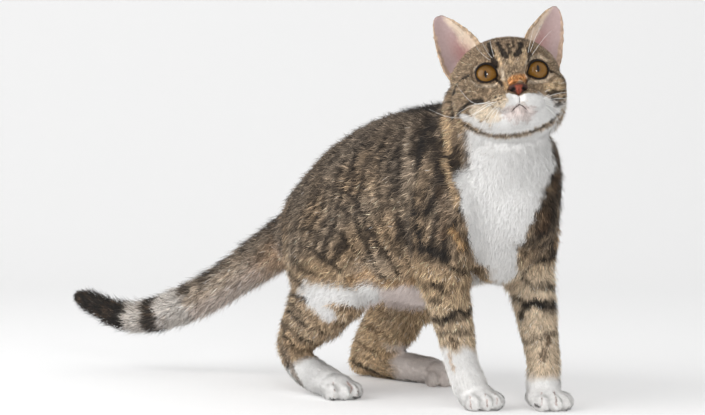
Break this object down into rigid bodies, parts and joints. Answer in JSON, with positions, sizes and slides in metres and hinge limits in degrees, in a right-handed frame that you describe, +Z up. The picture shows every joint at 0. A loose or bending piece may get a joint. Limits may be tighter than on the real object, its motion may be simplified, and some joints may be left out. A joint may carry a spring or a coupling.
{
  "type": "cat",
  "caption": "Life-size standing cat with a short springy tabby and white coat, head raised and turned, hindquarters low, tail held out behind.",
  "frame": {"origin": "on the floor under the middle of the model's box, which runs from the front paws to the tip of the tail", "axes": "+Z up from the soles, the body faces -Y, its left side is +X, the tail runs to +Y and -X"},
  "size_m": [0.2287, 0.6144, 0.3451],
  "materials": {
    "torso": "short dense springy coat",
    "neck": "short dense springy coat",
    "head": "short dense springy coat",
    "ear_left": "short dense springy coat",
    "ear_right": "short dense springy coat",
    "tail_base": "short dense springy coat",
    "tail_middle": "short dense springy coat",
    "tail_tip": "short dense springy coat",
    "shoulder_right": "short dense springy coat",
    "shoulder_left": "short dense springy coat",
    "forearm_right": "short dense springy coat",
    "forearm_left": "short dense springy coat",
    "front_paw_right": "short dense springy coat",
    "front_paw_left": "short dense springy coat",
    "thigh_right": "short dense springy coat",
    "thigh_left": "short dense springy coat",
    "shank_right": "short dense springy coat",
    "shank_left": "short dense springy coat",
    "hock_right": "short dense springy coat",
    "hock_left": "short dense springy coat",
    "hind_paw_right": "short dense springy coat",
    "hind_paw_left": "short dense springy coat",
    "eye_left": "wet, glossy amber iris with a dark slit",
    "eye_right": "wet, glossy amber iris with a dark slit",
    "nose": "bare, slightly moist skin"
  },
  "bodies": {
    "root": {"torso": "torso", "neck": "neck", "head": "head", "ear_left": "ear_left", "ear_right": "ear_right", "tail_base": "tail_base", "tail_middle": "tail_middle", "tail_tip": "tail_tip", "shoulder_right": "shoulder_right", "shoulder_left": "shoulder_left", "forearm_right": "forearm_right", "forearm_left": "forearm_left", "front_paw_right": "front_paw_right", "front_paw_left": "front_paw_left", "thigh_right": "thigh_right", "thigh_left": "thigh_left", "shank_right": "shank_right", "shank_left": "shank_left", "hock_right": "hock_right", "hock_left": "hock_left", "hind_paw_right": "hind_paw_right", "hind_paw_left": "hind_paw_left", "eye_left": "eye_left", "eye_right": "eye_right", "nose": "nose"}
  },
  "joints": []
}
